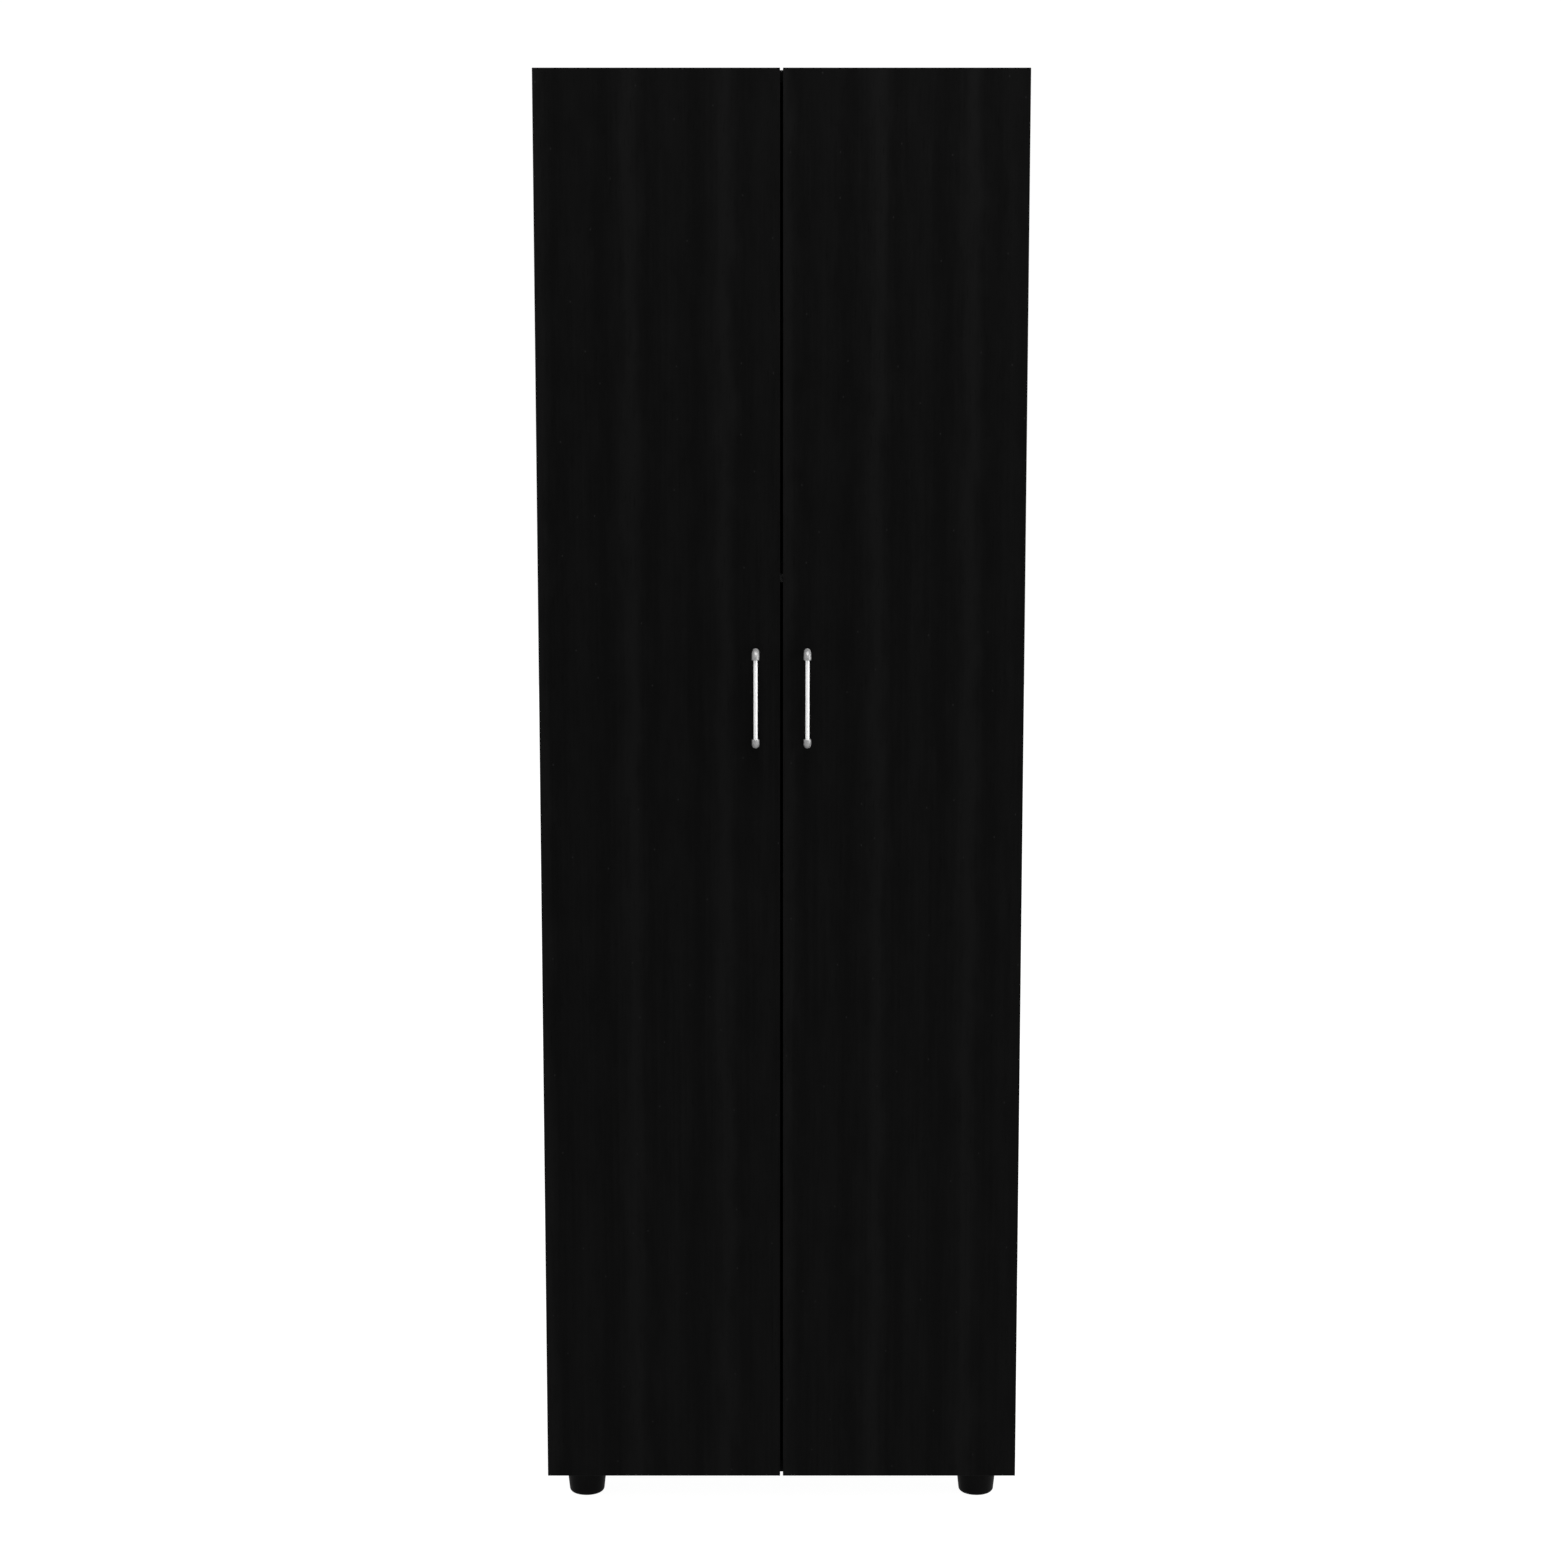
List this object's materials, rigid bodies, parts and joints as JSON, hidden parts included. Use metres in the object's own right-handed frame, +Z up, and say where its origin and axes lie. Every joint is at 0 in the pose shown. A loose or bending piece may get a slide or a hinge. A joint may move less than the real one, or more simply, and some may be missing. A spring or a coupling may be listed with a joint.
{
  "type": "pantry cabinet",
  "caption": "Tall narrow pantry cabinet with two hinged full-overlay doors, vertical bar handles, shelves inside and short round feet.",
  "frame": {"origin": "middle of the footprint's bounding box, on the floor the feet stand on", "axes": "+Z up, along the cabinet's height; -Y out of the doors' front; +X to the right seen from the front"},
  "size_m": [0.6, 0.434, 1.805],
  "materials": {
    "laminate": "black-brown wood-grain melamine on particle board",
    "hardboard": "raw brown hardboard",
    "satin_aluminium": "bright satin bars",
    "polished_plate": "polished plating of the handle posts",
    "nickel": "nickel-plated steel",
    "black_plastic": "satin moulded",
    "grey_plastic": "satin moulded"
  },
  "bodies": {
    "carcass": {"left_side_panel": "laminate", "right_side_panel": "laminate", "top_panel": "laminate", "bottom_panel": "laminate", "fixed_shelf": "laminate", "back_panel": "hardboard", "lower_shelf": "laminate", "lower_shelf_pin_left_front": "nickel", "lower_shelf_pin_left_rear": "nickel", "lower_shelf_pin_right_front": "nickel", "lower_shelf_pin_right_rear": "nickel", "middle_shelf": "laminate", "middle_shelf_pin_left_front": "nickel", "middle_shelf_pin_left_rear": "nickel", "middle_shelf_pin_right_front": "nickel", "middle_shelf_pin_right_rear": "nickel", "upper_shelf": "laminate", "upper_shelf_pin_left_front": "nickel", "upper_shelf_pin_left_rear": "nickel", "upper_shelf_pin_right_front": "nickel", "upper_shelf_pin_right_rear": "nickel", "foot_front_left": "black_plastic", "foot_front_right": "black_plastic", "foot_rear_left": "black_plastic", "foot_rear_right": "black_plastic", "left_bottom_hinge_arm": "nickel", "left_bottom_hinge_plate": "nickel", "left_middle_hinge_arm": "nickel", "left_middle_hinge_plate": "nickel", "left_top_hinge_arm": "nickel", "left_top_hinge_plate": "nickel", "right_bottom_hinge_arm": "nickel", "right_bottom_hinge_plate": "nickel", "right_middle_hinge_arm": "nickel", "right_middle_hinge_plate": "nickel", "right_top_hinge_arm": "nickel", "right_top_hinge_plate": "nickel", "catch_housing": "grey_plastic"},
    "left_door": {"left_door": "laminate", "left_handle_post_lower": "polished_plate", "left_handle_post_upper": "polished_plate", "left_handle_bar": "satin_aluminium", "left_strike_plate": "nickel", "left_bottom_hinge_cup": "nickel", "left_bottom_hinge_pin": "nickel", "left_middle_hinge_cup": "nickel", "left_middle_hinge_pin": "nickel", "left_top_hinge_cup": "nickel", "left_top_hinge_pin": "nickel"},
    "right_door": {"right_door": "laminate", "right_handle_post_lower": "polished_plate", "right_handle_post_upper": "polished_plate", "right_handle_bar": "satin_aluminium", "right_strike_plate": "nickel", "right_bottom_hinge_cup": "nickel", "right_bottom_hinge_pin": "nickel", "right_middle_hinge_cup": "nickel", "right_middle_hinge_pin": "nickel", "right_top_hinge_cup": "nickel", "right_top_hinge_pin": "nickel"}
  },
  "joints": [
    {"name": "left_door_hinge", "type": "hinge", "parent": "carcass", "child": "left_door", "pos_m": [-0.29175, -0.1775, 0.923], "axis": [0, 0, -1], "range_deg": [0, 95]},
    {"name": "right_door_hinge", "type": "hinge", "parent": "carcass", "child": "right_door", "pos_m": [0.29175, -0.1775, 0.923], "axis": [0, 0, 1], "range_deg": [0, 95]}
  ]
}
